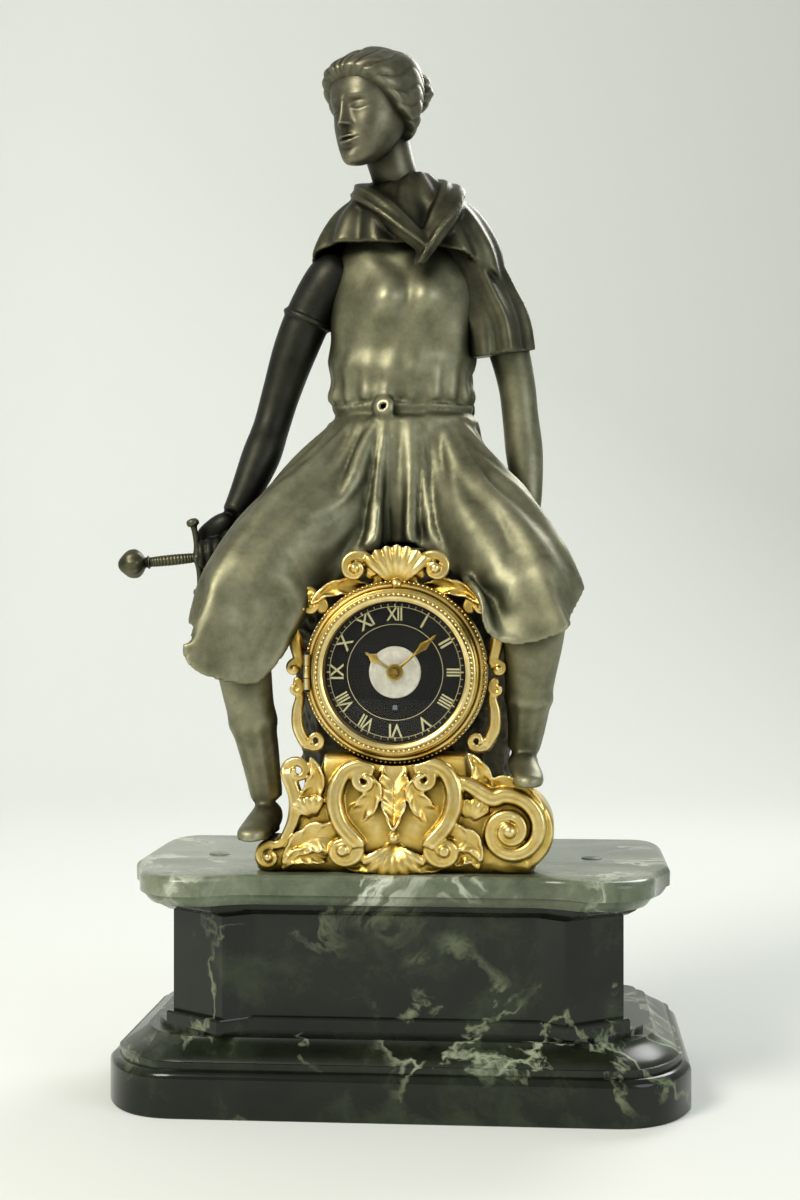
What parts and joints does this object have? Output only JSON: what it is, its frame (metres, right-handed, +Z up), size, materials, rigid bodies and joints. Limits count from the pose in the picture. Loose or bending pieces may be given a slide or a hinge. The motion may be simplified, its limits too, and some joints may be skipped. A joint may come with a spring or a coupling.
{
  "type": "figural mantel clock",
  "caption": "Mantel clock with a seated draped figure of patinated bronze over a gilt scrolled case with a round dark dial, on a stepped green marble plinth.",
  "frame": {"origin": "middle of the plinth's underside", "axes": "+X to the viewer's right, +Y to the back of the clock, +Z up"},
  "size_m": [0.352, 0.2, 0.6496],
  "materials": {
    "green_marble": "polished",
    "pale_marble": "polished",
    "gilt_bronze": "gilt",
    "patinated_bronze": "patinated",
    "dark_bronze": "patinated",
    "brass": "polished",
    "steel": "polished",
    "black_dial": "gloss",
    "cream_enamel": "gloss",
    "clear_glass": "polished"
  },
  "bodies": {
    "clock_body": {"plinth_base_slab": "green_marble", "plinth_moulding": "pale_marble", "plinth_body": "green_marble", "plinth_top_slab": "pale_marble", "seat_bolt": "steel", "tie_rod_left": "brass", "tie_nut_left": "steel", "tie_rod_right": "brass", "tie_nut_right": "steel", "case_drum": "brass", "front_ring": "brass", "rear_ring": "brass", "strap_left": "brass", "strap_right": "brass", "door_hinge_pin": "steel", "bezel_hinge_pin": "steel", "dial_plate": "black_dial", "dial_centre": "cream_enamel", "front_plate": "brass", "back_plate": "brass", "pillar_1": "brass", "pillar_2": "brass", "pillar_3": "brass", "pillar_4": "brass", "suspension_cock": "brass", "suspension_spring": "steel", "case_front": "gilt_bronze", "scroll_base": "gilt_bronze", "seat_mound": "dark_bronze", "figure_body": "patinated_bronze", "figure_head": "patinated_bronze", "right_arm": "dark_bronze", "left_arm": "patinated_bronze", "cloak": "dark_bronze", "sword_hilt": "dark_bronze"},
    "centre_arbor": {"centre_wheel": "brass", "cannon_pinion": "steel", "minute_hand": "gilt_bronze", "hand_nut": "brass"},
    "hour_group": {"hour_wheel": "brass", "hour_hand": "gilt_bronze"},
    "minute_wheel_group": {"minute_wheel": "brass"},
    "barrel_group": {"going_barrel": "brass", "barrel_cover": "brass", "mainspring": "steel"},
    "third_group": {"third_wheel": "brass"},
    "escape_group": {"escape_wheel": "brass"},
    "pendulum": {"pendulum_rod": "steel"},
    "bob": {"pendulum_bob": "brass"},
    "rating": {"rating_nut": "brass"},
    "anchor_group": {"anchor": "steel", "crutch": "brass"},
    "winding_arbor": {"barrel_arbor": "steel", "ratchet_wheel": "steel"},
    "click_group": {"click": "steel"},
    "bezel": {"bezel_ring": "gilt_bronze", "bezel_glass": "clear_glass", "sight_ring": "gilt_bronze"},
    "back_door": {"rear_door": "brass"}
  },
  "joints": [
    {"name": "minute_turn", "type": "hinge", "parent": "clock_body", "child": "centre_arbor", "pos_m": [0, 0, 0.26], "axis": [0, 1, 0], "continuous": true},
    {"name": "hour_turn", "type": "hinge", "parent": "clock_body", "child": "hour_group", "pos_m": [0, 0, 0.26], "axis": [0, 1, 0], "continuous": true},
    {"name": "minute_wheel_turn", "type": "hinge", "parent": "clock_body", "child": "minute_wheel_group", "pos_m": [0.012, 0, 0.26], "axis": [0, 1, 0], "continuous": true},
    {"name": "barrel_turn", "type": "hinge", "parent": "clock_body", "child": "barrel_group", "pos_m": [0, 0, 0.239], "axis": [0, 1, 0], "continuous": true},
    {"name": "third_turn", "type": "hinge", "parent": "clock_body", "child": "third_group", "pos_m": [-0.00965, 0, 0.26965], "axis": [0, 1, 0], "continuous": true},
    {"name": "escape_turn", "type": "hinge", "parent": "clock_body", "child": "escape_group", "pos_m": [0, 0, 0.27626], "axis": [0, 1, 0], "continuous": true},
    {"name": "pendulum_swing", "type": "hinge", "parent": "clock_body", "child": "pendulum", "pos_m": [0, 0, 0.29029], "axis": [0, 1, 0], "range_deg": [-3, 3]},
    {"name": "anchor_swing", "type": "hinge", "parent": "clock_body", "child": "anchor_group", "pos_m": [0, 0, 0.29029], "axis": [0, 1, 0], "range_deg": [-3, 3]},
    {"name": "bob_slide", "type": "slide", "parent": "pendulum", "child": "bob", "axis": [0, 0, 1], "range_m": [-0.001, 0.001]},
    {"name": "rating_turn", "type": "hinge", "parent": "bob", "child": "rating", "pos_m": [0, 0, 0.1537], "axis": [0, 0, 1], "range_deg": [-800, 800]},
    {"name": "winding_turn", "type": "hinge", "parent": "clock_body", "child": "winding_arbor", "pos_m": [0, 0, 0.239], "axis": [0, 1, 0], "continuous": true},
    {"name": "click_rock", "type": "hinge", "parent": "clock_body", "child": "click_group", "pos_m": [-0.01024, 0, 0.24506], "axis": [0, -1, 0], "range_deg": [0, 20]},
    {"name": "bezel_swing", "type": "hinge", "parent": "clock_body", "child": "bezel", "pos_m": [-0.0524, -0.0702, 0.26], "axis": [0, 0, -1], "range_deg": [0, 100]},
    {"name": "door_swing", "type": "hinge", "parent": "clock_body", "child": "back_door", "pos_m": [-0.0548, 0.0509, 0.26], "axis": [0, 0, 1], "range_deg": [0, 110]}
  ],
  "couplings": [
    {"joint": "hour_turn", "follows": "minute_turn", "ratio": 0.083333},
    {"joint": "minute_wheel_turn", "follows": "minute_turn", "ratio": -0.33333},
    {"joint": "barrel_turn", "follows": "minute_turn", "ratio": -0.16667},
    {"joint": "third_turn", "follows": "minute_turn", "ratio": -12},
    {"joint": "escape_turn", "follows": "minute_turn", "ratio": 144},
    {"joint": "anchor_swing", "follows": "pendulum_swing", "ratio": 1},
    {"joint": "rating_turn", "follows": "bob_slide", "rad_per_m": 12566}
  ]
}
